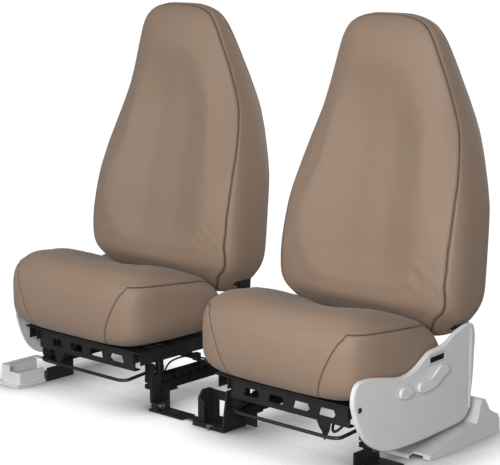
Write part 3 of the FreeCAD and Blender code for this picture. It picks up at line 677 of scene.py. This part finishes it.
# --- Cover straps --------------------------------------------------------------------------
# Three bands of elastic webbing pull the hem together under the cushion. Each end has a flat
# moulded hook.
webbing = bpy.data.materials.new("elastic_webbing")
webbing.use_nodes = True
web_tree = webbing.node_tree
web_at = add_node(web_tree, "ShaderNodeTexCoord")
web_rib = add_node(web_tree, "ShaderNodeTexWave", {"Vector": web_at.outputs["Object"], "Scale": 260.0,
                   "Distortion": 0.4}, bands_direction="X")
web_tone = add_node(web_tree, "ShaderNodeMix", {0: web_rib.outputs["Fac"], 6: (0.012, 0.012, 0.013, 1),
                    7: (0.035, 0.035, 0.037, 1)}, data_type="RGBA")
web_bump = add_node(web_tree, "ShaderNodeBump", {"Height": web_rib.outputs["Fac"], "Strength": 0.5,
                    "Distance": 0.0005})
web_tree.links.new(web_tone.outputs[2], web_tree.nodes["Principled BSDF"].inputs["Base Color"])
web_tree.links.new(web_bump.outputs["Normal"], web_tree.nodes["Principled BSDF"].inputs["Normal"])
web_tree.nodes["Principled BSDF"].inputs["Roughness"].default_value = 0.8


def block(bm, x0, x1, y0, y1, z0, z1, edge=0.0):
    """Rounded block between two corners, in mm in the seat's own frame."""
    made = bmesh.ops.create_cube(bm, size=1)["verts"]
    for v in made:
        v.co = Vector(((x0 + x1) / 2 + v.co.x * (x1 - x0), (y0 + y1) / 2 + v.co.y * (y1 - y0),
                       (z0 + z1) / 2 + v.co.z * (z1 - z0))) / 1000 + Vector((SEAT_X, -MID_Y, 0))
    if edge:
        rims = list({e for v in made for e in v.link_edges})
        bmesh.ops.bevel(bm, geom=rims, offset=edge / 1000, affect="EDGES", segments=2, profile=0.5,
                        material=-1)


bands, hooks = bmesh.new(), bmesh.new()
for y in (-140, -50, 45):
    block(bands, -200, 200, y - 12, y + 12, 164.3, 165.3, 0.3)
    for side in (-1, 1):
        near_hook, far_hook = sorted((side * 206, side * 226))
        near_link, far_link = sorted((side * 199, side * 207))
        block(hooks, near_hook, far_hook, y - 10, y + 10, 164.0, 165.5, 0.5)
        block(hooks, near_link, far_link, y - 8, y + 8, 164.2, 165.4, 0.4)
both_sides(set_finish(object_of(bands, "driver_elastic_bands", webbing, False), "strap_webbing"),
           "elastic_bands", "cushion", ["cover_straps"])
both_sides(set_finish(object_of(hooks, "driver_band_hooks", motor_plastic, False), "motor_black"), "band_hooks",
           "cushion")

# --- Wiring loom and slide cable -----------------------------------------------------------
# The loom is clipped under the pan and goes into its plug; it has a ribbed jacket. The slide's
# pull cable runs along the inner rail in a smooth jacket. Neither has a free end.
loom_jacket = bpy.data.materials.new("ribbed_loom")
loom_jacket.use_nodes = True
loom_tree = loom_jacket.node_tree
loom_at = add_node(loom_tree, "ShaderNodeTexCoord")
loom_rib = add_node(loom_tree, "ShaderNodeTexWave", {"Vector": loom_at.outputs["Object"], "Scale": 160.0},
                    bands_direction="Y")
loom_bump = add_node(loom_tree, "ShaderNodeBump", {"Height": loom_rib.outputs["Fac"], "Strength": 0.7,
                     "Distance": 0.001})
loom_tone = add_node(loom_tree, "ShaderNodeMix", {0: loom_rib.outputs["Fac"], 6: (0.008, 0.008, 0.008, 1),
                     7: (0.03, 0.03, 0.03, 1)}, data_type="RGBA")
loom_tree.links.new(loom_bump.outputs["Normal"], loom_tree.nodes["Principled BSDF"].inputs["Normal"])
loom_tree.links.new(loom_tone.outputs[2], loom_tree.nodes["Principled BSDF"].inputs["Base Color"])
loom_tree.nodes["Principled BSDF"].inputs["Roughness"].default_value = 0.6


def jacket(name, points, radius, finish):
    line = bpy.data.curves.new(name, "CURVE")
    line.dimensions, line.bevel_depth, line.bevel_resolution, line.use_fill_caps = "3D", radius, 4, True
    line.resolution_u = 8
    run = line.splines.new("NURBS")
    run.points.add(len(points) - 1)
    for knot, (x, y, z) in zip(run.points, points):
        knot.co = (SEAT_X + x / 1000, y / 1000 - MID_Y, z / 1000, 1)
    run.order_u, run.use_endpoint_u = 3, True
    route = bpy.data.objects.new(name + "_route", line)
    scene.collection.objects.link(route)
    data = bpy.data.meshes.new_from_object(route.evaluated_get(bpy.context.evaluated_depsgraph_get()))
    bpy.data.objects.remove(route)
    bm = bmesh.new()
    bm.from_mesh(data)
    bmesh.ops.recalc_face_normals(bm, faces=bm.faces[:])
    return object_of(bm, name, finish)


loom = jacket("driver_loom", [(150, 92, 152), (150, 40, 152), (150, -20, 152), (150, -70, 150),
              (150, -110, 138), (150, -138, 118), (148, -158, 96), (140, -172, 84), (126, -170, 78), (114, -158, 84),
              (108, -140, 100), (106, -122, 122), (106, -106, 142)], 0.0035, loom_jacket)
both_sides(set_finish(loom, "cable_black"), "loom", "cushion", ["harness"])
fittings = bmesh.new()
block(fittings, 96, 116, -112, -94, 142, 159.8, 1.2)
for y in (70, 10, -45):
    block(fittings, 144, 156, y - 4, y + 4, 156.2, 159.8, 0.6)
    block(fittings, 148, 152, y - 4, y + 4, 152.5, 157, 0.5)
both_sides(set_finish(object_of(fittings, "driver_loom_fittings", motor_plastic, False), "motor_black"),
           "loom_fittings", "cushion")
pull = jacket("driver_pull_cable", [(-204, -92, 86), (-197, -78, 96), (-192, -58, 106), (-192, -24, 110),
              (-192, 12, 108), (-192, 40, 101), (-196, 62, 92), (-203, 78, 86)], 0.0025, cable_rubber)
both_sides(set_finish(pull, "cable_black"), "pull_cable", "carriage", ["release_cable"])

# --- Shield fittings -----------------------------------------------------------------------
# The moulded shield has a belt slot in a raised rim, with black walls and a black plate inside the slot as painted
# shade, a ridge down its rear edge, the parting line of its lower cover, and a dark screw in its nose.
rim = bmesh.new()
corners = [rim.verts.new(Vector((0.2801 + SEAT_X, y / 1000 - MID_Y, z / 1000)))
           for y, z in ((-2, 234), (62, 237), (64, 259), (-2, 257))]
rim_face = rim.faces.new(corners)
bmesh.ops.inset_region(rim, faces=[rim_face], thickness=0.0042, use_boundary=True, use_even_offset=True)
bmesh.ops.delete(rim, geom=[rim_face], context="FACES_ONLY")
slot_rim = object_of(rim, "driver_slot_rim", knob_plastic, False)
raised = slot_rim.modifiers.new("raised", "SOLIDIFY")
raised.thickness, raised.offset = 0.0012, 0
both_sides(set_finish(slot_rim, "grey_plastic"), "slot_rim", "cushion")

# Painted shade: black walls and a backing plate stand where the slot would show only its shade.
slot_shade_blocks = bmesh.new()
block(slot_shade_blocks, 269.8, 271.2, -4, 66, 230, 262, 0.3)
block(slot_shade_blocks, 271, 279.6, 2.2, 58.4, 239.2, 241.4, 0.3)
block(slot_shade_blocks, 271, 279.6, 2.2, 59.6, 251.6, 253.4, 0.3)
block(slot_shade_blocks, 271, 279.6, 2.1, 4.2, 239.2, 253.2, 0.3)
block(slot_shade_blocks, 271, 279.6, 56.4, 58.4, 241.0, 253.6, 0.3)
both_sides(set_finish(object_of(slot_shade_blocks, "driver_slot_liner", cable_rubber, False), "cable_black"), "slot_liner",
           "cushion")

ridge = bmesh.new()
for y, low, high in ((166, 96, 296), (171.5, 92, 292)):
    block(ridge, 279.4, 280.9, y, y + 2.2, low, high, 0.6)
block(ridge, 279.6, 280.3, 96, 166, 176, 177.4, 0.3)
both_sides(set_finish(object_of(ridge, "driver_shield_ridge", grey_plastic, False), "grey_plastic"),
           "shield_ridge", "cushion")

for side, nose, way in (("driver", -266, 1), ("passenger", -182, -1)):
    screw = bmesh.new()
    seat = Matrix.Translation((way * (SEAT_X + 0.2808), nose / 1000 - MID_Y, 0.185))
    outward = Matrix.Rotation(way * math.pi / 2, 4, "Y")
    bmesh.ops.create_cone(screw, cap_ends=True, segments=28, radius1=0.0066, radius2=0.0056,
                          depth=0.0016, matrix=seat @ outward)
    screw.normal_update()
    drive = [f for f in screw.faces if abs(f.normal.x) > 0.9 and f.normal.x * way > 0]
    bmesh.ops.inset_region(screw, faces=drive, thickness=0.0018, depth=-0.0010)
    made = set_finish(object_of(screw, side + "_shield_screw", black_paint, False), "black_steel")
    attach(made, side + "_cushion")
